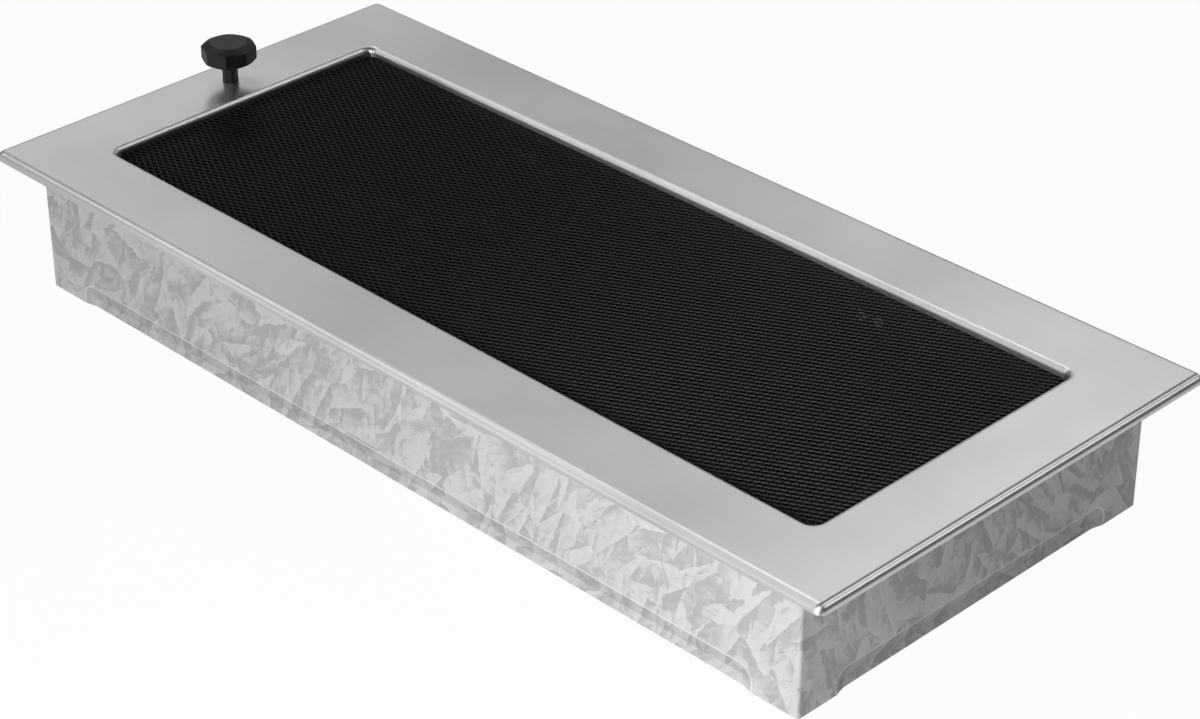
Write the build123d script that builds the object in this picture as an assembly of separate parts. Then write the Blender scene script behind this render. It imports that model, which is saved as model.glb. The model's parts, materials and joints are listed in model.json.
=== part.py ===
from build123d import *
from math import asin, cos, degrees, radians, sin
import os

# Fireplace vent grille with a pull-out knob that turns six louvre blades.
# All sizes are in millimetres. The grille stands on the rear rim of its wall box:
# X runs along the long side, Y along the short side, and Z points to the room.

# Front frame, folded from brushed stainless sheet
frame_length = 370.0
frame_width = 170.0
frame_border = 28.0
frame_sheet = 0.8
outer_lip = 2.8
outer_bend = 2.7
outer_corner = 2.8
inner_lip = 3.2
inner_bend = 2.0
opening_corner = 3.5
corner_slit = 0.35
slit_reach = 8.8
slit_stop = 1.0

# Wall box, one galvanised sheet ring with a groove pressed into each wall
box_inset_ends = 14.5
box_inset_long = 9.0
box_depth = 49.0
box_sheet = 0.8
box_corner = 1.0
groove_height = 2.5
groove_half_width = 5.5
groove_depth = 2.0
groove_end_margin_long = 17.5
groove_end_margin_short = 15.5
cut_over = 1.0
edge_search = 0.1
level_search = 0.01

# Expanded mesh behind the opening, drawn with large diamonds
mesh_sheet = 1.0
mesh_overlap_ends = 4.0
mesh_overlap_long = 13.0
diamond_columns = 9
diamond_rows = 7
strand_width = 3.4
strand_draft = 38.0
strand_over = 0.1
strand_spread = 1.6

# Louvre cassette: two end plates and two side rails
cassette_sheet = 1.0
cassette_bend = 0.6
cassette_end_gap = 5.0
cassette_depth = 27.0
rail_setback = 1.4
rail_foot = 7.0
end_flange = 8.0
end_tab = 11.0

# Blades and their pivot rods
blade_count = 6
blade_margin = 6.78
blade_overlap = 1.46
blade_sheet = 0.8
blade_overlap_gap = 0.35
blade_end_gap = 1.7
pivot_depth = 14.8
rod_diameter = 3.0
rod_fit = 0.02
rod_head_diameter = 4.4
rod_head_thickness = 0.8
pivot_clearance = 0.05
blade_swing = 72.0

# Crank levers and link bar
crank_radius = 8.0
crank_sheet = 1.5
crank_hub = 3.1
crank_tip = 2.8
axial_gap = 0.3
pin_diameter = 3.0
pin_clearance = 0.05
pin_head_diameter = 4.2
pin_head_thickness = 0.6
bar_sheet = 1.5
bar_height = 7.0
bar_end = 4.0
lug_drop = 3.0
lug_width = 8.0

# Drive stud and the drive arm under the knob
stud_diameter = 3.0
stud_head_diameter = 4.6
stud_head_thickness = 0.8
slot_clearance = 0.25
slot_side_clearance = 0.5
arm_sheet = 1.5
arm_bend = 0.8
arm_width = 9.0
arm_gap = 1.0
arm_foot = 2.6
arm_below_slot = 2.6

# Knob, its neck and the guide bush under the flange
knob_offset = 4.9
head_sides = 8
head_across_corners = 19.2
head_underside = 6.0
head_edge_low = 8.7
head_edge_high = 12.9
head_top = 14.6
head_flat_top = 6.3
head_flat_under = 5.0
neck_diameter = 5.4
neck_clearance = 0.05
flange_hole_clearance = 0.15
bush_diameter = 10.0
bush_height = 5.0
stop_gap = 0.2
screw_diameter = 3.0
screw_clearance = 0.1
screw_length = 8.0
screw_head_diameter = 5.5
screw_head_height = 2.0
screw_socket = 1.25
notch_side_gap = 0.75
notch_floor_gap = 0.8
notch_reach = 4.0

# Spring clips on the side rails
clip_sheet = 0.6
clip_bend = 1.2
clip_width = 14.0
clip_end_margin = 79.0
clip_foot_top = 9.0
clip_foot = 11.0
clip_touch = 0.1
clip_nose_depth = 36.5
clip_tail_depth = 41.0
clip_tail_inset = 4.5

# Fasteners
rivet_diameter = 2.4
rivet_head_diameter = 4.2
rivet_head_height = 0.8
clip_rivet_spacing = 7.0
corner_rivet_inset = 5.0
corner_rivet_spacing = 10.0
weld_stud_diameter = 3.0
weld_stud_hole = 3.4
weld_stud_end_margin = 37.0
weld_stud_inset = 6.0
nut_across_flats = 5.5
nut_height = 2.4
nut_bore = 3.1
stud_beyond_nut = 1.2

# Sizes that follow from the sizes above
box_length = frame_length - 2 * box_inset_ends
box_width = frame_width - 2 * box_inset_long
front = box_depth
mesh_top = front - inner_lip
mesh_bottom = mesh_top - mesh_sheet
pivot_height = front - pivot_depth
cassette_bottom = front - cassette_depth
opening_length = frame_length - 2 * frame_border
opening_width = frame_width - 2 * frame_border
rail_face = opening_width / 2 + rail_setback
rail_back = rail_face + cassette_sheet
mesh_half_length = opening_length / 2 + mesh_overlap_ends
mesh_half_width = opening_width / 2 + mesh_overlap_long
cassette_inner_length = opening_length - 2 * cassette_end_gap
plate_outer = cassette_inner_length / 2 + cassette_sheet
blade_pitch = (opening_width - 2 * blade_margin) / blade_count
blade_chord = blade_pitch + blade_overlap
blade_tilt = degrees(asin((blade_sheet + blade_overlap_gap) / blade_pitch))
blade_length = cassette_inner_length - 2 * blade_end_gap
first_blade = -blade_pitch * (blade_count - 1) / 2
stud_reach = opening_length / 2 - weld_stud_end_margin
weld_stud_positions = (-stud_reach, 0.0, stud_reach)
clip_position = opening_length / 2 - clip_end_margin

# The crank swings evenly above and below the level of the pivots
crank_low = radians(blade_swing / 2)
knob_travel = 2 * crank_radius * sin(crank_low)
crank_out = crank_radius * cos(crank_low)
crank_down = crank_radius * sin(crank_low)

# Places along X of what lies outside the left end plate
crank_face = -(plate_outer + axial_gap)
bar_face = crank_face - crank_sheet - axial_gap
bar_outside = bar_face - bar_sheet
arm_face = bar_outside - axial_gap - pin_head_thickness - arm_gap
arm_outside = arm_face - arm_sheet

# The knob stands in the middle of the left border
knob_x = -(frame_length - frame_border) / 2
bush_bottom = front - frame_sheet - bush_height
arm_top = bush_bottom - stop_gap - knob_travel
stud_height = pivot_height - crank_down - lug_drop
stud_offset = knob_offset - (crank_radius - crank_out) / 2
slot_height = stud_diameter + 2 * slot_clearance
slot_length = crank_radius - crank_out + stud_diameter + 2 * slot_side_clearance


def rounded_block(length, width, low, high, corner):
    """Upright block with rounded corners, centred on the Z axis."""
    outline = RectangleRounded(length, width, corner)
    return Pos(0, 0, low) * extrude(outline, amount=high - low)


def folded_strip(points, sheet, bend, plane, width):
    """Sheet strip that follows the points, bent to the inside radius given."""
    path = FilletPolyline(*points, radius=bend + sheet / 2)
    section = trace(path, line_width=sheet)
    return extrude(plane * section, amount=width / 2, both=True)


def rod_along_x(radius, start, end, y, z):
    """Round rod parallel to X between two places."""
    return Pos((start + end) / 2, y, z) * Rot(0, 90, 0) * Cylinder(radius, abs(end - start))


def rod_along_y(radius, start, end, x, z):
    """Round rod parallel to Y between two places."""
    return Pos(x, (start + end) / 2, z) * Rot(90, 0, 0) * Cylinder(radius, abs(end - start))


def rod_upright(radius, low, high, x, y):
    """Round rod parallel to Z between two heights."""
    return Pos(x, y, (low + high) / 2) * Cylinder(radius, high - low)


def blade_axis(index):
    """Place along Y of one blade's pivot."""
    return first_blade + index * blade_pitch


def corner_slits(length, width, low, high):
    """Upright saw cuts across the four corners of a lip."""
    cuts = Part()
    for sign_x in (-1, 1):
        for sign_y in (-1, 1):
            turn = 45.0 * sign_x * sign_y
            cut = Box(slit_reach, corner_slit, high - low)
            place = Pos(sign_x * length / 2, sign_y * width / 2, (low + high) / 2)
            cuts += place * Rot(0, 0, turn) * cut
    return cuts


def front_frame():
    """Frame with its outer lip, and a lip turned down round the opening."""
    low = front - outer_lip
    shell = rounded_block(frame_length, frame_width, low, front, outer_corner)
    shell = fillet(shell.edges().group_by(Axis.Z)[-1], outer_bend)
    inside = RectangleRounded(
        frame_length - 2 * frame_sheet, frame_width - 2 * frame_sheet, outer_corner - frame_sheet
    )
    hollow = Pos(0, 0, low - cut_over) * extrude(inside, amount=outer_lip + cut_over - frame_sheet)
    hollow = fillet(hollow.edges().group_by(Axis.Z)[-1], outer_bend - frame_sheet)
    frame = shell - hollow
    bottom = front - inner_lip
    collar_length = opening_length + 2 * frame_sheet
    collar_width = opening_width + 2 * frame_sheet
    collar_corner = opening_corner + frame_sheet
    frame += rounded_block(collar_length, collar_width, bottom, front - frame_sheet / 2, collar_corner)
    inner_fold = [
        edge for edge in frame.edges()
        if abs(edge.center().Z - (front - frame_sheet)) < level_search
        and abs(edge.center().X) < collar_length / 2 + edge_search
        and abs(edge.center().Y) < collar_width / 2 + edge_search
    ]
    frame = fillet(inner_fold, inner_bend - frame_sheet)
    frame -= rounded_block(
        opening_length, opening_width, bottom - cut_over, front + cut_over, opening_corner
    )
    rim = [
        edge for edge in frame.edges()
        if abs(edge.center().Z - front) < level_search
        and abs(edge.center().X) < opening_length / 2 + edge_search
        and abs(edge.center().Y) < opening_width / 2 + edge_search
    ]
    frame = fillet(rim, inner_bend)
    frame -= corner_slits(frame_length, frame_width, low - cut_over, front - slit_stop)
    frame -= corner_slits(opening_length, opening_width, bottom - cut_over, front - inner_bend)
    hole = neck_diameter / 2 + flange_hole_clearance
    frame -= rod_upright(hole, front - frame_sheet - cut_over, front + cut_over, knob_x, knob_offset)
    return frame


def groove_tool(length):
    """Wedge with cone ends that presses one groove, its mouth on the XZ plane."""
    ridge = Polygon((0, -groove_half_width), (groove_depth, 0), (0, groove_half_width), align=None)
    run = length - 2 * groove_half_width
    wedge = extrude(Plane.YZ * ridge, amount=run / 2, both=True)
    cone = Cone(groove_half_width, 0, groove_depth, align=(Align.CENTER, Align.CENTER, Align.MIN))
    for end in (-run / 2, run / 2):
        wedge += Pos(end, 0, 0) * Rot(-90, 0, 0) * cone
    return wedge


def box_grooves(inward):
    """The four groove shapes, moved inward from the box's outer faces."""
    long_run = box_length - 2 * groove_end_margin_long
    short_run = box_width - 2 * groove_end_margin_short
    near = Pos(0, -box_width / 2 + inward, groove_height) * groove_tool(long_run)
    left = Pos(-box_length / 2 + inward, 0, groove_height) * Rot(0, 0, -90) * groove_tool(short_run)
    return [near, Rot(0, 0, 180) * near, left, Rot(0, 0, 180) * left]


def wall_box():
    """Sheet ring with a groove in each wall and a notch for the knob's drive."""
    top = front - frame_sheet
    ring = rounded_block(box_length, box_width, 0, top, box_corner)
    inside_length = box_length - 2 * box_sheet
    inside_width = box_width - 2 * box_sheet
    ring -= rounded_block(inside_length, inside_width, -cut_over, top + cut_over, box_corner - box_sheet)
    for bulge in box_grooves(box_sheet):
        ring += bulge
    for groove in box_grooves(0):
        ring -= groove
    below = Box(box_length + box_width, 2 * box_width, 2 * groove_half_width)
    ring -= Pos(0, 0, -groove_half_width) * below
    notch_width = bush_diameter + 2 * notch_side_gap
    floor = arm_top - arm_sheet - screw_head_height - notch_floor_gap
    notch = Pos(-box_length / 2, knob_offset, (floor + front) / 2) * Box(
        notch_reach, notch_width, front - floor
    )
    return ring - notch


def mesh_panel():
    """Panel with ridged strands round diamond gaps."""
    panel = Pos(0, 0, (mesh_top + mesh_bottom) / 2) * Box(
        2 * mesh_half_length, 2 * mesh_half_width, mesh_sheet
    )
    pitch_x = opening_length / diamond_columns
    pitch_y = opening_width / diamond_rows
    half_x = (pitch_x - strand_width * strand_spread) / 2
    half_y = (pitch_y - strand_width) / 2
    diamond = Polygon((-half_x, 0), (0, -half_y), (half_x, 0), (0, half_y), align=None)
    places = []
    for column in range(diamond_columns):
        for row in range(diamond_rows):
            x = (column - (diamond_columns - 1) / 2) * pitch_x
            y = (row - (diamond_rows - 1) / 2) * pitch_y
            places.append((x, y))
    for column in range(diamond_columns - 1):
        for row in range(diamond_rows - 1):
            x = (column - (diamond_columns - 2) / 2) * pitch_x
            y = (row - (diamond_rows - 2) / 2) * pitch_y
            places.append((x, y))
    cutter = extrude(diamond, amount=mesh_sheet + 2 * strand_over, taper=-strand_draft)
    cuts = [Pos(x, y, mesh_bottom - strand_over) * cutter for x, y in places]
    panel -= cuts
    holes = [
        stud_hole(x, side)
        for x in weld_stud_positions
        for side in (-1, 1)
    ]
    return panel - holes


def stud_hole(x, side):
    """Upright hole for a weld stud through mesh and rail."""
    low = mesh_bottom - cassette_sheet - cut_over
    return rod_upright(weld_stud_hole / 2, low, mesh_top + cut_over, x, side * weld_stud_line())


def weld_stud_line():
    """Distance of the weld studs from the middle, along Y."""
    return rail_back + weld_stud_inset


def side_rail(side):
    """Rail with a foot turned in and a flange turned out under the mesh."""
    middle = rail_face + cassette_sheet / 2
    top = mesh_bottom - cassette_sheet / 2
    bottom = cassette_bottom + cassette_sheet / 2
    outline = [
        (mesh_half_width, top),
        (middle, top),
        (middle, bottom),
        (rail_face - rail_foot, bottom),
    ]
    rail = folded_strip(outline, cassette_sheet, cassette_bend, Plane.YZ, 2 * plate_outer)
    for x in weld_stud_positions:
        rail -= stud_hole(x, 1)
    for x in clip_rivet_places():
        rail -= rod_along_y(
            rivet_diameter / 2, rail_face - cut_over, rail_back + cut_over, x, clip_rivet_height()
        )
    for x, z in corner_rivet_places():
        rail -= rod_along_y(rivet_diameter / 2, rail_face - cut_over, rail_back + cut_over, x, z)
    return rail if side > 0 else mirror(rail, about=Plane.XZ)


def end_plate(side):
    """End plate with a tab at each rail, a flange under the mesh and six pivot holes."""
    middle = plate_outer - cassette_sheet / 2
    tab = rail_face - cassette_sheet / 2
    top = mesh_bottom - cassette_sheet / 2
    outline = [(middle - end_tab, -tab), (middle, -tab), (middle, tab), (middle - end_tab, tab)]
    low = cassette_bottom + cassette_sheet + cassette_bend
    height = mesh_bottom - cassette_sheet - low
    path = FilletPolyline(*outline, radius=cassette_bend + cassette_sheet / 2)
    plate = Pos(0, 0, low) * extrude(trace(path, line_width=cassette_sheet), amount=height)
    bend = [(middle, low + height / 2), (middle, top), (plate_outer + end_flange, top)]
    flange_width = 2 * (rail_face - cassette_sheet - cassette_bend)
    plate += folded_strip(bend, cassette_sheet, cassette_bend, Plane.XZ, flange_width)
    for index in range(blade_count):
        hole = rod_diameter / 2 + pivot_clearance
        inner = plate_outer - cassette_sheet - cut_over
        plate -= rod_along_x(hole, inner, plate_outer + cut_over, blade_axis(index), pivot_height)
    for x, z in corner_rivet_places():
        if x > 0:
            plate -= rod_along_y(rivet_diameter / 2, -rail_back, rail_back, x, z)
    return plate if side > 0 else mirror(plate, about=Plane.YZ)


def blade(index):
    """Flat blade with a raised bead over its pivot rod, tilted as when shut."""
    bead = rod_diameter / 2 + blade_sheet
    seat = rod_diameter / 2 + rod_fit
    sheet = Box(blade_length, blade_chord, blade_sheet)
    bead_rod = Rot(0, 90, 0) * Cylinder(bead, blade_length)
    above = Pos(0, 0, bead / 2 - blade_sheet / 4) * Box(blade_length, 2 * bead, bead + blade_sheet / 2)
    shape = sheet + (bead_rod & above)
    shape -= Rot(0, 90, 0) * Cylinder(seat, blade_length + cut_over)
    return Pos(0, blade_axis(index), pivot_height) * Rot(blade_tilt, 0, 0) * shape


def pivot_rod(index):
    """Rod through a blade, with a riveted head outside the right end plate."""
    head_face = plate_outer + axial_gap
    y = blade_axis(index)
    rod = rod_along_x(rod_diameter / 2, crank_face - crank_sheet, head_face, y, pivot_height)
    head_end = head_face + rod_head_thickness
    rod += rod_along_x(rod_head_diameter / 2, head_face, head_end, y, pivot_height)
    return rod


def crank(index):
    """Crank lever pressed on the rod, with a headed pin for the link bar."""
    y = blade_axis(index)
    tip_y = y + crank_out
    tip_z = pivot_height - crank_down
    outside = crank_face - crank_sheet
    hub = rod_along_x(crank_hub, crank_face, outside, y, pivot_height)
    tip = rod_along_x(crank_tip, crank_face, outside, tip_y, tip_z)
    web = Pos((crank_face + outside) / 2, y, pivot_height) * Rot(-blade_swing / 2, 0, 0) * Pos(
        0, crank_radius / 2, 0
    ) * Box(crank_sheet, crank_radius, 2 * crank_tip)
    lever = hub + tip + web
    bore = rod_diameter / 2 + rod_fit
    lever -= rod_along_x(bore, crank_face + cut_over, outside - cut_over, y, pivot_height)
    head_start = bar_outside - axial_gap
    lever += rod_along_x(pin_diameter / 2, outside, head_start, tip_y, tip_z)
    head_end = head_start - pin_head_thickness
    lever += rod_along_x(pin_head_diameter / 2, head_start, head_end, tip_y, tip_z)
    return lever


def link_bar():
    """Bar that joins the six crank pins, with a lug for the drive stud."""
    z = pivot_height - crank_down
    first = blade_axis(0) + crank_out
    last = blade_axis(blade_count - 1) + crank_out
    length = last - first + 2 * bar_end
    middle = (bar_face + bar_outside) / 2
    outline = Pos((first + last) / 2, z) * SlotOverall(length, bar_height)
    lug = Pos(stud_offset, z - lug_drop / 2) * Rectangle(lug_width, lug_drop)
    lug_end = Pos(stud_offset, stud_height) * Circle(lug_width / 2)
    shape = extrude(Plane.YZ * (outline + lug + lug_end), amount=bar_sheet / 2, both=True)
    bar = Pos(middle, 0, 0) * shape
    for index in range(blade_count):
        hole = pin_diameter / 2 + pin_clearance
        y = blade_axis(index) + crank_out
        bar -= rod_along_x(hole, bar_face + cut_over, bar_outside - cut_over, y, z)
    bar -= rod_along_x(
        stud_diameter / 2, bar_face + cut_over, bar_outside - cut_over, stud_offset, stud_height
    )
    return bar


def drive_stud():
    """Headed stud on the link bar that runs in the drive arm's slot."""
    head_start = arm_outside - axial_gap
    stud = rod_along_x(stud_diameter / 2, bar_face, head_start, stud_offset, stud_height)
    head_end = head_start - stud_head_thickness
    return stud + rod_along_x(stud_head_diameter / 2, head_start, head_end, stud_offset, stud_height)


def drive_arm():
    """Bent strip under the knob's neck, with a level slot for the drive stud."""
    far = knob_x - arm_foot - screw_diameter / 2
    middle_x = (arm_face + arm_outside) / 2
    middle_z = arm_top - arm_sheet / 2
    bottom = stud_height - slot_height / 2 - arm_below_slot
    outline = [(far, middle_z), (middle_x, middle_z), (middle_x, bottom)]
    arm = Pos(0, knob_offset, 0) * folded_strip(outline, arm_sheet, arm_bend, Plane.XZ, arm_width)
    slot = Plane.YZ * SlotOverall(slot_length, slot_height)
    arm -= Pos(middle_x, knob_offset, stud_height) * extrude(slot, amount=arm_sheet, both=True)
    hole = screw_diameter / 2 + screw_clearance
    return arm - rod_upright(hole, arm_top - arm_sheet - cut_over, arm_top + cut_over, knob_x, knob_offset)


def knob():
    """Eight-sided head with coned faces on a round neck."""
    corner = head_across_corners / 2
    profile = Polyline(
        (0, head_underside),
        (head_flat_under, head_underside),
        (corner, head_edge_low),
        (corner, head_edge_high),
        (head_flat_top, head_top),
        (0, head_top),
        close=True,
    )
    turned = revolve(Plane.XZ * make_face(profile), Axis.Z)
    prism = extrude(RegularPolygon(corner, head_sides), amount=head_top)
    head = Pos(knob_x, knob_offset, front) * (turned & prism)
    neck = rod_upright(neck_diameter / 2, arm_top, front + head_underside, knob_x, knob_offset)
    screw_top = arm_top - arm_sheet + screw_length + screw_clearance
    return head + neck - rod_upright(screw_diameter / 2, arm_top - cut_over, screw_top, knob_x, knob_offset)


def knob_bush():
    """Guide bush for the neck, welded under the flange."""
    top = front - frame_sheet
    bush = rod_upright(bush_diameter / 2, bush_bottom, top, knob_x, knob_offset)
    bore = neck_diameter / 2 + neck_clearance
    return bush - rod_upright(bore, bush_bottom - cut_over, top + cut_over, knob_x, knob_offset)


def arm_screw():
    """Screw that holds the drive arm under the neck."""
    seat = arm_top - arm_sheet
    screw = rod_upright(screw_diameter / 2, seat, seat + screw_length, knob_x, knob_offset)
    screw += rod_upright(screw_head_diameter / 2, seat - screw_head_height, seat, knob_x, knob_offset)
    socket = extrude(RegularPolygon(screw_socket, 6), amount=screw_head_height / 2)
    return screw - Pos(knob_x, knob_offset, seat - screw_head_height) * socket


def clip_rivet_places():
    """Places along X of the rivets that hold the spring clips."""
    offsets = (-clip_rivet_spacing / 2, clip_rivet_spacing / 2)
    return [clip + offset for clip in (-clip_position, clip_position) for offset in offsets]


def clip_rivet_height():
    """Height of the spring clips' rivets."""
    return front - clip_foot_top - clip_foot / 2


def spring_clip(side_x, side_y):
    """Leaf bent out from the rail to press on the wall box."""
    foot = rail_back + clip_sheet / 2
    nose = box_width / 2 - box_sheet - clip_touch - clip_sheet / 2
    outline = [
        (foot, front - clip_foot_top),
        (foot, front - clip_foot_top - clip_foot),
        (nose, front - clip_nose_depth),
        (nose - clip_tail_inset, front - clip_tail_depth),
    ]
    clip = folded_strip(outline, clip_sheet, clip_bend, Plane.YZ, clip_width)
    clip = Pos(side_x * clip_position, 0, 0) * clip
    for x in clip_rivet_places():
        clip -= rod_along_y(
            rivet_diameter / 2, rail_back - cut_over, foot + cut_over, x, clip_rivet_height()
        )
    return clip if side_y > 0 else mirror(clip, about=Plane.XZ)


def rivet(inner, outer, x, z):
    """Rivet through the sheets between two faces, headed at both ends."""
    shank = rod_along_y(rivet_diameter / 2, inner, outer, x, z)
    inner_head = rod_along_y(rivet_head_diameter / 2, inner - rivet_head_height, inner, x, z)
    outer_head = rod_along_y(rivet_head_diameter / 2, outer, outer + rivet_head_height, x, z)
    return shank + inner_head + outer_head


def both_sides(shapes):
    """The shapes and their mirror images on the near side."""
    return shapes + [mirror(shape, about=Plane.XZ) for shape in shapes]


def corner_rivet_places():
    """Places in X and Z of the rivets that join rails and end plates."""
    x = plate_outer - corner_rivet_inset - cassette_sheet
    middle = (cassette_bottom + mesh_bottom) / 2
    heights = (middle - corner_rivet_spacing / 2, middle + corner_rivet_spacing / 2)
    return [(sign * x, z) for sign in (-1, 1) for z in heights]


def clip_rivets():
    """Rivets of the four spring clips."""
    height = clip_rivet_height()
    outer = rail_back + clip_sheet
    return both_sides([rivet(rail_face, outer, x, height) for x in clip_rivet_places()])


def cassette_rivets():
    """Rivets at the cassette's four corners."""
    inner = rail_face - cassette_sheet
    return both_sides([rivet(inner, rail_back, x, z) for x, z in corner_rivet_places()])


def weld_studs():
    """Studs welded under the front frame, through mesh and rails."""
    low = mesh_bottom - cassette_sheet - nut_height - stud_beyond_nut
    top = front - frame_sheet
    line = weld_stud_line()
    return both_sides(
        [rod_upright(weld_stud_diameter / 2, low, top, x, line) for x in weld_stud_positions]
    )


def stud_nuts():
    """Nuts that clamp mesh and rails on the studs."""
    low = mesh_bottom - cassette_sheet - nut_height
    flats = RegularPolygon(nut_across_flats / 2, 6, major_radius=False)
    nut = extrude(flats - Circle(nut_bore / 2), amount=nut_height)
    line = weld_stud_line()
    return both_sides([Pos(x, line, low) * nut for x in weld_stud_positions])


def write(name, shape):
    """Write one node's solids to its own file."""
    solids = shape if isinstance(shape, list) else [shape]
    group = Compound(label=name, children=[solid for part in solids for solid in part.solids()])
    export_step(group, os.path.join("parts", name + ".step"))


def main():
    """Build every node of the grille."""
    os.makedirs("parts", exist_ok=True)
    write("front_frame", front_frame())
    write("wall_box", wall_box())
    write("mesh_panel", mesh_panel())
    write("side_rail_near", side_rail(-1))
    write("side_rail_far", side_rail(1))
    write("end_plate_left", end_plate(-1))
    write("end_plate_right", end_plate(1))
    write("knob_bush", knob_bush())
    write("spring_clip_near_left", spring_clip(-1, -1))
    write("spring_clip_near_right", spring_clip(1, -1))
    write("spring_clip_far_left", spring_clip(-1, 1))
    write("spring_clip_far_right", spring_clip(1, 1))
    write("clip_rivets", clip_rivets())
    write("cassette_rivets", cassette_rivets())
    write("weld_studs", weld_studs())
    write("stud_nuts", stud_nuts())
    for index in range(blade_count):
        number = str(index + 1)
        write("blade_" + number, blade(index))
        write("pivot_rod_" + number, pivot_rod(index))
        write("crank_" + number, crank(index))
    write("link_bar", link_bar())
    write("drive_stud", drive_stud())
    write("knob", knob())
    write("drive_arm", drive_arm())
    write("arm_screw", arm_screw())


main()
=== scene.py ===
import json
import math

import bpy
from mathutils import Euler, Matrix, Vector


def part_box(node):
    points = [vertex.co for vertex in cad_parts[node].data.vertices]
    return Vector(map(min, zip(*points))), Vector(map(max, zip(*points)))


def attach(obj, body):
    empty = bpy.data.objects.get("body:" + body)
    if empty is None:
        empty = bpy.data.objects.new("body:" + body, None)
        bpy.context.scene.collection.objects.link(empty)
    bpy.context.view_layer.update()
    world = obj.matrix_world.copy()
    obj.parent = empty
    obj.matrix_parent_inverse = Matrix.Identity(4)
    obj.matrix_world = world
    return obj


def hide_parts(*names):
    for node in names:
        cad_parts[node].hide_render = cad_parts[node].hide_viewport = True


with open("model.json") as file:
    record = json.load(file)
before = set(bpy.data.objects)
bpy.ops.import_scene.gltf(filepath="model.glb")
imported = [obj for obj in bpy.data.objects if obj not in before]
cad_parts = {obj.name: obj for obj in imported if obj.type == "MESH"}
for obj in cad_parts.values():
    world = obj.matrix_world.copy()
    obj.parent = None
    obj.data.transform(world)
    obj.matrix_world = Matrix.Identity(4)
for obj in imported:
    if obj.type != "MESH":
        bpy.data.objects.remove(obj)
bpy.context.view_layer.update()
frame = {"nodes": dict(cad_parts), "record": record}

nodes = frame["nodes"]
mm = 0.001


# ---------------------------------------------------------------- materials

def linear(colour):
    """sRGB hex colour as linear red, green, blue and alpha."""
    parts = [int(colour[i:i + 2], 16) / 255 for i in (1, 3, 5)]
    return tuple(p / 12.92 if p <= 0.04045 else ((p + 0.055) / 1.055) ** 2.4 for p in parts) + (1.0,)


def add(tree, kind, values=None, links=None, **settings):
    """One node of a material, with its settings, its sockets' values and what feeds them."""
    made = tree.nodes.new(kind)
    for name, value in settings.items():
        setattr(made, name, value)
    for socket, value in (values or {}).items():
        made.inputs[socket].default_value = value
    for socket, source in (links or {}).items():
        tree.links.new(source, made.inputs[socket])
    return made


def new_material(name):
    """Empty material, its node tree and a vector that counts metres from the grille's origin."""
    material = bpy.data.materials.new(name)
    material.use_nodes = True
    tree = material.node_tree
    tree.nodes.clear()
    place = add(tree, "ShaderNodeTexCoord").outputs["Object"]
    return material, tree, place


def close(tree, shader):
    """Joins the finished shader to the material's output."""
    add(tree, "ShaderNodeOutputMaterial", links={"Surface": shader.outputs["BSDF"]})


def per_metre(size):
    """Pattern scale that gives one cell of this size in millimetres."""
    return 1000.0 / size


def colours(tree, source, steps):
    """Colour band of (place, hex colour) steps."""
    band = add(tree, "ShaderNodeValToRGB", links={"Fac": source})
    while len(band.color_ramp.elements) < len(steps):
        band.color_ramp.elements.new(0.5)
    for element, (at, colour) in zip(band.color_ramp.elements, steps):
        element.position = at
        element.color = linear(colour)
    return band.outputs["Color"]


def brushed_stainless():
    """Stainless sheet, brushed along its length before folding: fine lines along X, and soft highlights across them."""
    material, tree, place = new_material("brushed_stainless_sheet")
    # Brush lines are about 0.05 mm apart and 45 mm long, drawn 0.5 mm apart so that they show
    lines = add(tree, "ShaderNodeMapping", values={"Scale": (per_metre(45), per_metre(0.5), per_metre(3))},
                links={"Vector": place})
    grain = add(tree, "ShaderNodeTexNoise", values={"Scale": 1.0, "Detail": 3.0, "Roughness": 0.6},
                links={"Vector": lines.outputs[0]})
    # Rolling and handling leave soft clouds some 60 mm wide
    clouds = add(tree, "ShaderNodeTexNoise", values={"Scale": per_metre(60), "Detail": 2.0},
                 links={"Vector": place})
    tone = add(tree, "ShaderNodeMath", operation="MULTIPLY_ADD", values={1: 0.3},
               links={0: grain.outputs[0], 2: clouds.outputs[0]})
    colour = colours(tree, tone.outputs[0], ((0.47, "#D3D5D5"), (0.81, "#E2E4E3")))
    roughness = add(tree, "ShaderNodeMapRange", values={"To Min": 0.30, "To Max": 0.38},
                    links={"Value": grain.outputs[0]})
    # Light spreads across the brush lines, on the face and on the bends. A small share along Y gives the folded
    # ends, which face along X, a direction too.
    normal = add(tree, "ShaderNodeNewGeometry").outputs["Normal"]
    across = add(tree, "ShaderNodeVectorMath", operation="CROSS_PRODUCT", values={0: (1, 0, 0)}, links={1: normal})
    spread = add(tree, "ShaderNodeVectorMath", operation="ADD", values={1: (0, -0.05, 0)},
                 links={0: across.outputs[0]})
    relief = add(tree, "ShaderNodeBump", values={"Strength": 0.12, "Distance": 0.02 * mm},
                 links={"Height": grain.outputs[0]})
    shader = add(tree, "ShaderNodeBsdfPrincipled", values={"Metallic": 1.0, "Anisotropic": 0.75},
                 links={"Base Color": colour, "Roughness": roughness.outputs[0], "Normal": relief.outputs[0],
                        "Tangent": spread.outputs[0]})
    close(tree, shader)
    return material


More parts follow.
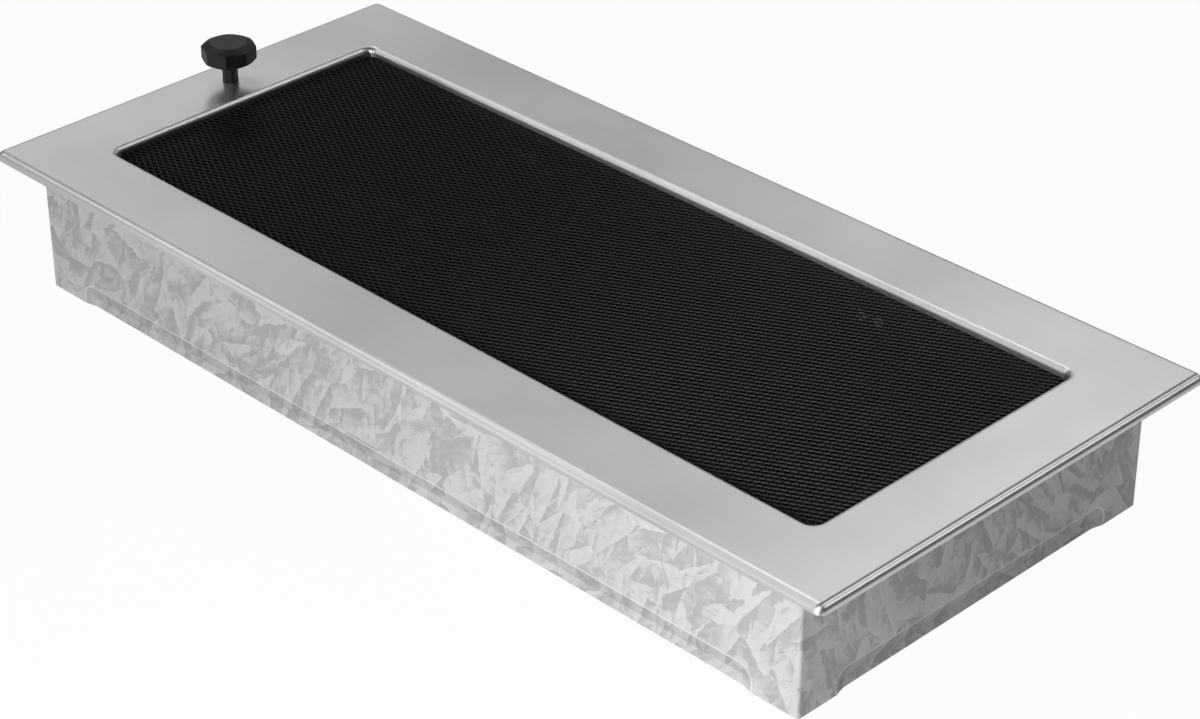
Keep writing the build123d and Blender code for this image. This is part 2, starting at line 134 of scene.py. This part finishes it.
def crystal_layer(tree, place, length, width, turn):
    """Zinc crystals of one size in millimetres: blades that break off sharply and fade between the breaks."""
    drawn_out = add(tree, "ShaderNodeMapping", vector_type="TEXTURE",
                    values={"Rotation": turn, "Scale": (length * mm, width * mm, width * mm)},
                    links={"Vector": place})
    crystal = add(tree, "ShaderNodeTexVoronoi", values={"Scale": 1.0}, links={"Vector": drawn_out.outputs[0]})
    from_heart = add(tree, "ShaderNodeVectorMath", operation="SUBTRACT",
                     links={0: drawn_out.outputs[0], 1: crystal.outputs["Position"]})
    lean = add(tree, "ShaderNodeVectorMath", operation="SUBTRACT", values={1: (0.5, 0.5, 0.5)},
               links={0: crystal.outputs["Color"]})
    slope = add(tree, "ShaderNodeVectorMath", operation="DOT_PRODUCT",
                links={0: from_heart.outputs[0], 1: lean.outputs[0]})
    start = add(tree, "ShaderNodeSeparateColor", links={"Color": crystal.outputs["Color"]})
    # One or two blades lie side by side in a crystal
    facet = add(tree, "ShaderNodeMath", operation="MULTIPLY_ADD", values={1: 2.6},
                links={0: slope.outputs["Value"], 2: start.outputs[0]})
    return add(tree, "ShaderNodeMath", operation="FRACT", links={0: facet.outputs[0]})


# Crystals of the zinc, drawn out up the walls at a slant: length and width in millimetres, turn in radians, share
crystal_sizes = (
    (30, 11, (0.3, -0.8, -0.6), 0.48),
    (17, 6, (0.9, -1.1, -0.9), 0.32),
    (8, 3.5, (0.2, -0.5, -0.3), 0.20),
)


def spangled_zinc():
    """Hot-dipped zinc on sheet steel: dull, with the angular pale and dark crystals that it sets in."""
    material, tree, place = new_material("spangled_galvanised_sheet")
    # The rims of the crystals are feathered by a few tenths of a millimetre
    feather = add(tree, "ShaderNodeTexNoise", values={"Scale": per_metre(2.5), "Detail": 3.0},
                  links={"Vector": place})
    shift = add(tree, "ShaderNodeMapRange", data_type="FLOAT_VECTOR",
                values={"From Min": (0.25,) * 3, "From Max": (0.75,) * 3, "To Min": (-0.4 * mm,) * 3,
                        "To Max": (0.4 * mm,) * 3},
                links={"Vector": feather.outputs["Color"]})
    moved = add(tree, "ShaderNodeVectorMath", operation="ADD", links={0: place, 1: shift.outputs["Vector"]})
    total = None
    for length, width, turn, share in crystal_sizes:
        layer = crystal_layer(tree, moved.outputs[0], length, width, turn)
        total = add(tree, "ShaderNodeMath", operation="MULTIPLY_ADD", values={1: share, 2: 0.0},
                    links={0: layer.outputs[0]} | ({2: total.outputs[0]} if total else {}))
    colour = colours(tree, total.outputs[0], ((0.27, "#B6B7B6"), (0.42, "#C2C3C2"), (0.54, "#D0D2D1"),
                                              (0.8, "#D9DBDA")))
    # Masks for a painted shade inside the pressed grooves and a painted highlight along their rims
    groove_painted_shade, rim_painted_highlight = groove_shade_and_highlight_masks(tree, place)
    # Painted shade: the zinc inside each groove is darkened a little
    groove_shaded_colour = add(tree, "ShaderNodeMix", data_type="RGBA", blend_type="MULTIPLY", values={"B": linear("#F3F2F2")},
                 links={"Factor": groove_painted_shade.outputs[0], "A": colour})
    # Painted highlight: a pale line laid along each groove's rim
    bright = add(tree, "ShaderNodeMix", data_type="RGBA", values={"B": linear("#F2F4F3")},
                 links={"Factor": rim_painted_highlight.outputs[0], "A": groove_shaded_colour.outputs["Result"]})
    dull = add(tree, "ShaderNodeMapRange", values={"To Min": 0.56, "To Max": 0.44},
               links={"Value": total.outputs[0]})
    relief = add(tree, "ShaderNodeBump", values={"Strength": 0.15, "Distance": 0.03 * mm},
                 links={"Height": total.outputs[0]})
    shader = add(tree, "ShaderNodeBsdfPrincipled", values={"Metallic": 0.2},
                 links={"Base Color": bright.outputs["Result"], "Roughness": dull.outputs[0],
                        "Normal": relief.outputs[0]})
    close(tree, shader)
    return material


# Wall box and its pressed grooves: outer sizes, the grooves' middle line and how far they stop short of the corners
box_length = 341 * mm
box_width = 152 * mm
groove_level = 2.5 * mm
groove_half_width = 5.5 * mm
groove_half_run_long = box_length / 2 - 17.5 * mm - groove_half_width
groove_half_run_short = box_width / 2 - 15.5 * mm - groove_half_width
# Farther along X than this lie only the box's end walls
end_walls_from = 168 * mm


def groove_shade_and_highlight_masks(tree, place):
    """Two masks: 1 inside each pressed groove, where a painted shade darkens the zinc, and 1 along its rim, where a
    painted highlight lies.
    """
    at = add(tree, "ShaderNodeSeparateXYZ", links={"Vector": place})
    past = []
    for axis, half_run in (("X", groove_half_run_long), ("Y", groove_half_run_short)):
        out = add(tree, "ShaderNodeMath", operation="ABSOLUTE", links={0: at.outputs[axis]})
        over = add(tree, "ShaderNodeMath", operation="SUBTRACT", values={1: half_run}, links={0: out.outputs[0]})
        past.append(add(tree, "ShaderNodeMath", operation="MAXIMUM", values={1: 0.0}, links={0: over.outputs[0]}))
    # On the end walls the groove runs along Y, so the distance past its run is measured along Y there
    on_end = add(tree, "ShaderNodeMath", operation="GREATER_THAN", values={1: end_walls_from - groove_half_run_long},
                 links={0: past[0].outputs[0]})
    along = add(tree, "ShaderNodeMix", links={"Factor": on_end.outputs[0], "A": past[0].outputs[0],
                                              "B": past[1].outputs[0]})
    up = add(tree, "ShaderNodeMath", operation="SUBTRACT", values={1: groove_level}, links={0: at.outputs["Z"]})
    both = add(tree, "ShaderNodeCombineXYZ", links={"X": along.outputs["Result"], "Y": up.outputs[0]})
    reach = add(tree, "ShaderNodeVectorMath", operation="LENGTH", links={0: both.outputs[0]})
    off = add(tree, "ShaderNodeMath", operation="SUBTRACT", values={1: groove_half_width},
              links={0: reach.outputs["Value"]})
    gap = add(tree, "ShaderNodeMath", operation="ABSOLUTE", links={0: off.outputs[0]})
    # Painted shade mask: 1 inside the groove, fading out at its edge
    groove_painted_shade = add(tree, "ShaderNodeMapRange", values={"From Min": 0.1 * mm, "From Max": -0.5 * mm},
                  links={"Value": off.outputs[0]})
    # The painted highlight along the rim is about a third of a millimetre wide
    rim_painted_highlight = add(tree, "ShaderNodeMapRange", values={"From Min": 0.3 * mm, "From Max": 0.1 * mm},
                 links={"Value": gap.outputs[0]})
    return groove_painted_shade, rim_painted_highlight


def black_paint(name, dark, pale, roughness, gloss):
    """Baked black paint on steel, slightly orange-peeled and dusty, so that it has a dull uneven sheen."""
    material, tree, place = new_material(name)
    peel = add(tree, "ShaderNodeTexNoise", values={"Scale": per_metre(1.2), "Detail": 3.0}, links={"Vector": place})
    dust = add(tree, "ShaderNodeTexNoise", values={"Scale": per_metre(25), "Detail": 4.0}, links={"Vector": place})
    colour = colours(tree, dust.outputs[0], ((0.4, dark), (0.7, pale)))
    dull = add(tree, "ShaderNodeMapRange", values={"To Min": roughness - 0.06, "To Max": roughness + 0.06},
               links={"Value": dust.outputs[0]})
    relief = add(tree, "ShaderNodeBump", values={"Strength": 0.1, "Distance": 0.03 * mm},
                 links={"Height": peel.outputs[0]})
    shader = add(tree, "ShaderNodeBsdfPrincipled", values={"IOR": 1.5, "Specular IOR Level": gloss},
                 links={"Base Color": colour, "Roughness": dull.outputs[0], "Normal": relief.outputs[0]})
    close(tree, shader)
    return material


def moulded_plastic():
    """Black moulded plastic with a fine eroded grain that spreads its highlights."""
    material, tree, place = new_material("moulded_black_plastic")
    grain = add(tree, "ShaderNodeTexNoise", values={"Scale": per_metre(0.5), "Detail": 2.0}, links={"Vector": place})
    handling = add(tree, "ShaderNodeTexNoise", values={"Scale": per_metre(6), "Detail": 2.0},
                   links={"Vector": place})
    colour = colours(tree, handling.outputs[0], ((0.35, "#161616"), (0.7, "#1F1F1F")))
    dull = add(tree, "ShaderNodeMapRange", values={"To Min": 0.42, "To Max": 0.52},
               links={"Value": handling.outputs[0]})
    relief = add(tree, "ShaderNodeBump", values={"Strength": 0.25, "Distance": 0.02 * mm},
                 links={"Height": grain.outputs[0]})
    shader = add(tree, "ShaderNodeBsdfPrincipled", values={"IOR": 1.46},
                 links={"Base Color": colour, "Roughness": dull.outputs[0], "Normal": relief.outputs[0]})
    close(tree, shader)
    return material


def small_steel(name, dark, pale, roughness):
    """Plated or tempered steel of the small pieces, with faint drawing marks and a satin shine."""
    material, tree, place = new_material(name)
    marks = add(tree, "ShaderNodeTexNoise", values={"Scale": per_metre(1.5), "Detail": 4.0}, links={"Vector": place})
    stain = add(tree, "ShaderNodeTexNoise", values={"Scale": per_metre(9), "Detail": 2.0}, links={"Vector": place})
    colour = colours(tree, stain.outputs[0], ((0.4, dark), (0.65, pale)))
    dull = add(tree, "ShaderNodeMapRange", values={"To Min": roughness - 0.05, "To Max": roughness + 0.08},
               links={"Value": marks.outputs[0]})
    relief = add(tree, "ShaderNodeBump", values={"Strength": 0.15, "Distance": 0.02 * mm},
                 links={"Height": marks.outputs[0]})
    shader = add(tree, "ShaderNodeBsdfPrincipled", values={"Metallic": 1.0},
                 links={"Base Color": colour, "Roughness": dull.outputs[0], "Normal": relief.outputs[0]})
    close(tree, shader)
    return material


# ---------------------------------------------------------------- expanded mesh

# One diamond of the mesh, and how many side by side
long_way = 4.28 * mm
short_way = 2.27 * mm
diamond_columns = 74
diamond_rows = 51
# A strand: the flat on its crest, its full width, and how far its shoulders fall from the crest
crest_width = 0.24 * mm
strand_width = 0.6 * mm
strand_drop = 0.3 * mm


def expanded_mesh():
    """Slit and stretched steel panel: diamonds 4.28 by 2.27 mm between strands with a narrow flat crest."""
    low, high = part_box("mesh_panel")
    across = long_way * short_way / 2 / math.hypot(long_way, short_way)
    points, faces, known = [], [], {}

    def point(p, q, layer, dx=0.0, dy=0.0, z=0.0):
        """Index of a lattice point, in half diamonds from the panel's middle."""
        key = (p, q, layer)
        if key not in known:
            known[key] = len(points)
            points.append((p * long_way / 2 + dx, q * short_way / 2 + dy, z))
        return known[key]

    corners = ((1, 0), (0, 1), (-1, 0), (0, -1))

    def diamond(p, q):
        """The strands round one diamond: half their crest, a shoulder and the wall down to the back."""
        rings = ([], [], [], [])
        for number, (a, b) in enumerate(corners):
            rings[0].append(point(p + a, q + b, "front", z=high.z))
            for ring, layer, width, z in ((rings[1], "crest", crest_width, high.z),
                                          (rings[2], "rim", strand_width, high.z - strand_drop)):
                inset = width / across / 2
                ring.append(point(p + a, q + b, (layer, number), -a * inset * long_way / 2,
                                  -b * inset * short_way / 2, z=z))
            rings[3].append(point(p + a, q + b, "back", z=low.z))
        for outer, near in zip(rings, rings[1:]):
            for k in range(4):
                n = (k + 1) % 4
                faces.append((outer[k], outer[n], near[n], near[k]))

    first_p, first_q = 1 - diamond_columns, 1 - diamond_rows
    for column in range(diamond_columns):
        for row in range(diamond_rows):
            diamond(first_p + 2 * column, first_q + 2 * row)
    for column in range(diamond_columns - 1):
        for row in range(diamond_rows - 1):
            diamond(first_p + 2 * column + 1, first_q + 2 * row + 1)

    # Triangles that fill the zigzag between the outermost diamonds
    sides = (("front", high.z, 1), ("back", low.z, -1))
    tips = []
    for s in (-1, 1):
        for k in range(diamond_columns - 1):
            p, q = first_p + 2 * k, s * diamond_rows
            tips.append((s, ((p, q), (p + 1, q - s), (p + 2, q))))
        for k in range(diamond_rows - 1):
            p, q = s * diamond_columns, first_q + 2 * k
            tips.append((s, ((p, q), (p, q + 2), (p - s, q + 1))))
    for s, tip in tips:
        for layer, z, turn in sides:
            face = [point(p, q, layer, z=z) for p, q in tip]
            faces.append(tuple(face if s * turn > 0 else reversed(face)))

    # Uncut margin from the outermost diamonds to the panel's edge, anticlockwise from the near left corner
    loop = [(first_p + 2 * k, -diamond_rows) for k in range(diamond_columns)]
    loop += [(diamond_columns, first_q + 2 * k) for k in range(diamond_rows)]
    loop += [(-p, -q) for p, q in loop]
    rim = []
    for p, q in loop:
        on_long_side = abs(q) == diamond_rows
        rim.append((p * long_way / 2 if on_long_side else math.copysign(high.x, p),
                    math.copysign(high.y, q) if on_long_side else q * short_way / 2))
    corner_after = {diamond_columns - 1: (high.x, low.y), diamond_columns + diamond_rows - 1: (high.x, high.y),
                    2 * diamond_columns + diamond_rows - 1: (low.x, high.y), len(loop) - 1: (low.x, low.y)}
    edges = []
    for layer, z, turn in sides:
        inside = [point(p, q, layer, z=z) for p, q in loop]
        outside = range(len(points), len(points) + len(rim))
        points.extend((x, y, z) for x, y in rim)
        corner_at = {k: len(points) + number for number, k in enumerate(corner_after)}
        points.extend((x, y, z) for x, y in corner_after.values())
        edge = []
        for k in range(len(loop)):
            n = (k + 1) % len(loop)
            corner = [corner_at[k]] if k in corner_at else []
            face = [inside[k], outside[k], *corner, outside[n], inside[n]]
            faces.append(tuple(face if turn > 0 else reversed(face)))
            edge += [outside[k], *corner]
        edges.append(edge)
    top, bottom = edges
    for k in range(len(top)):
        n = (k + 1) % len(top)
        faces.append((top[n], top[k], bottom[k], bottom[n]))

    shape = bpy.data.meshes.new("expanded_mesh")
    shape.from_pydata(points, [], faces)
    shape.update()
    panel = bpy.data.objects.new("expanded_mesh", shape)
    bpy.context.collection.objects.link(panel)
    return panel


# ---------------------------------------------------------------- finishes and pieces

def soften(piece, width):
    """Rounds the sharp edges of a CAD piece by this many millimetres."""
    weld = piece.modifiers.new("join_faces", "WELD")
    weld.merge_threshold = 0.002 * mm
    round_edge = piece.modifiers.new("rounded_edges", "BEVEL")
    round_edge.width = width * mm
    round_edge.segments = 3
    round_edge.limit_method = "ANGLE"
    round_edge.angle_limit = math.radians(25)
    round_edge.harden_normals = True


def paint(piece, material):
    """One material all over a piece."""
    piece.data.materials.clear()
    piece.data.materials.append(material)


# Dust in the mesh takes more of its paint's gloss than on the blades
stainless = brushed_stainless()
zinc = spangled_zinc()
mesh_paint = black_paint("baked_black_mesh_paint", "#0C0C0C", "#131313", 0.38, 0.13)
blade_paint = black_paint("baked_black_sheet_paint", "#1C1C1C", "#242424", 0.42, 0.5)
knob_plastic = moulded_plastic()
plated = small_steel("zinc_plated_steel", "#A9ADB1", "#C3C6C8", 0.32)
spring = small_steel("tempered_spring_steel", "#6E6D6B", "#8A8886", 0.36)
finish_of = {
    "brushed_stainless": stainless,
    "galvanised_sheet": zinc,
    "black_steel": blade_paint,
    "zinc_steel": plated,
    "spring_steel": spring,
    "black_plastic": knob_plastic,
}
for part in frame["record"]["subparts"]:
    paint(nodes[part["node"]], finish_of[part["material_slot"]])

panel = expanded_mesh()
paint(panel, mesh_paint)
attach(panel, "grille")
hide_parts("mesh_panel")

soften(nodes["knob"], 0.35)


# ---------------------------------------------------------------- studio

# How much of the floor is lit white from within, seen directly or through something, and in metal
white_seen = 0.96
white_mirrored = 0.47
floor_half = 4.0
floor_sink = 0.2 * mm


def studio_floor():
    """Plain white floor that shows white to the eye and in metal, and keeps the shadow."""
    shape = bpy.data.meshes.new("studio_floor")
    corners = [(x * floor_half, y * floor_half, 0) for x, y in ((-1, -1), (1, -1), (1, 1), (-1, 1))]
    shape.from_pydata(corners, [], [(0, 1, 2, 3)])
    floor = bpy.data.objects.new("studio_floor", shape)
    bpy.context.collection.objects.link(floor)
    floor.location.z = -floor_sink
    material, tree, place = new_material("white_studio_board")
    fibre = add(tree, "ShaderNodeTexNoise", values={"Scale": per_metre(2)}, links={"Vector": place})
    colour = colours(tree, fibre.outputs[0], ((0.3, "#CBCBCB"), (0.7, "#D1D1D1")))
    board = add(tree, "ShaderNodeBsdfDiffuse", links={"Color": colour})
    white = add(tree, "ShaderNodeEmission", values={"Color": (1, 1, 1, 1), "Strength": 1.0})
    ray = add(tree, "ShaderNodeLightPath")
    through = add(tree, "ShaderNodeMath", operation="ADD",
                  links={0: ray.outputs["Is Camera Ray"], 1: ray.outputs["Is Transmission Ray"]})
    mirrored = add(tree, "ShaderNodeMath", operation="MULTIPLY", values={1: white_mirrored},
                   links={0: ray.outputs["Is Glossy Ray"]})
    share = add(tree, "ShaderNodeMath", operation="MULTIPLY_ADD", use_clamp=True, values={1: white_seen},
                links={0: through.outputs[0], 2: mirrored.outputs[0]})
    both = add(tree, "ShaderNodeMixShader",
               links={0: share.outputs[0], 1: board.outputs[0], 2: white.outputs[0]})
    add(tree, "ShaderNodeOutputMaterial", links={"Surface": both.outputs[0]})
    paint(floor, material)


# Soft boxes of the studio, as they show in the metal: compass angle from +X towards +Y, height angle and half
# width, all in degrees, and brightness
soft_boxes = (
    ("back_right", 122, 34, 12, 1.66),
    ("back_middle", 132, 31, 10, 0.24),
    ("back_turn", 141, 28, 9, 0.63),
    ("back_left", 152, 24, 12, 1.35),
    ("low_left", 136, 10, 10, 0.54),
    ("high_right", 140, 49, 11, 0.06),
    ("arc_high", 154, 55, 12, 3.05),
    ("left_high", 195, 58, 15, 0.30),
    ("left_middle", 196, 44, 13, 1.89),
    ("left_front_high", 226, 42, 15, 1.15),
    ("left_front_middle", 216, 28, 14, 0.18),
    ("left_front_low", 232, 12, 16, 1.56),
    ("left_low", 196, 14, 24, 0.32),
    ("front", 270, 16, 28, 2.02),
    ("right_bend", 76, 52, 12, 2.89),
    ("right_turn", 48, 37, 12, 3.67),
    ("right_back", 42, 12, 22, 0.06),
    ("back_low", 92, 14, 20, 0.64),
)
air_level = 0.04


def studio_air():
    """Dim even room with soft boxes round it."""
    world = bpy.data.worlds.new("studio_air")
    bpy.context.scene.world = world
    world.use_nodes = True
    tree = world.node_tree
    tree.nodes.clear()
    direction = add(tree, "ShaderNodeTexCoord").outputs["Generated"]
    total = add(tree, "ShaderNodeValue", label="air_level")
    total.outputs[0].default_value = air_level
    for name, compass, height, half_width, level in soft_boxes:
        flat = math.cos(math.radians(height))
        centre = (flat * math.cos(math.radians(compass)), flat * math.sin(math.radians(compass)),
                  math.sin(math.radians(height)))
        near = add(tree, "ShaderNodeVectorMath", operation="DOT_PRODUCT", values={1: centre},
                   links={0: direction})
        shape = add(tree, "ShaderNodeMapRange", interpolation_type="SMOOTHSTEP",
                    values={"From Min": math.cos(math.radians(half_width)), "From Max": 1.0},
                    links={"Value": near.outputs["Value"]})
        total = add(tree, "ShaderNodeMath", operation="MULTIPLY_ADD", label=name, values={1: level},
                    links={0: shape.outputs[0], 2: total.outputs[0]})
    air = add(tree, "ShaderNodeBackground", links={"Color": total.outputs[0]})
    add(tree, "ShaderNodeOutputWorld", links={"Surface": air.outputs[0]})


def lamp(name, place, aim, size, power, spread):
    """Square soft box that stands at a place, in metres, aims at another and throws light this many degrees wide."""
    light = bpy.data.lights.new(name, "AREA")
    light.shape = "SQUARE"
    light.size = size
    light.energy = power
    light.spread = math.radians(spread)
    made = bpy.data.objects.new(name, light)
    bpy.context.collection.objects.link(made)
    made.location = place
    made.rotation_euler = (Vector(place) - Vector(aim)).to_track_quat("Z", "Y").to_euler()


def camera():
    """Camera at the photograph's place, angle and focal length, for a sensor 36 mm wide."""
    lens = bpy.data.cameras.new("camera")
    lens.sensor_width = 36.0
    lens.lens = 95.9456
    lens.clip_start = 0.01
    made = bpy.data.objects.new("camera", lens)
    bpy.context.collection.objects.link(made)
    made.location = (0.631869, -0.609176, 0.539286)
    made.rotation_euler = Euler([math.radians(a) for a in (58.9411, 0.0353, 45.2752)])
    bpy.context.scene.camera = made


studio_floor()
studio_air()
lamp("near_right_box", place=(0.24, -0.5, 0.28), aim=(0.16, -0.08, 0.03), size=0.22, power=0.72, spread=110)
camera()
bpy.context.scene.view_settings.view_transform = "Standard"
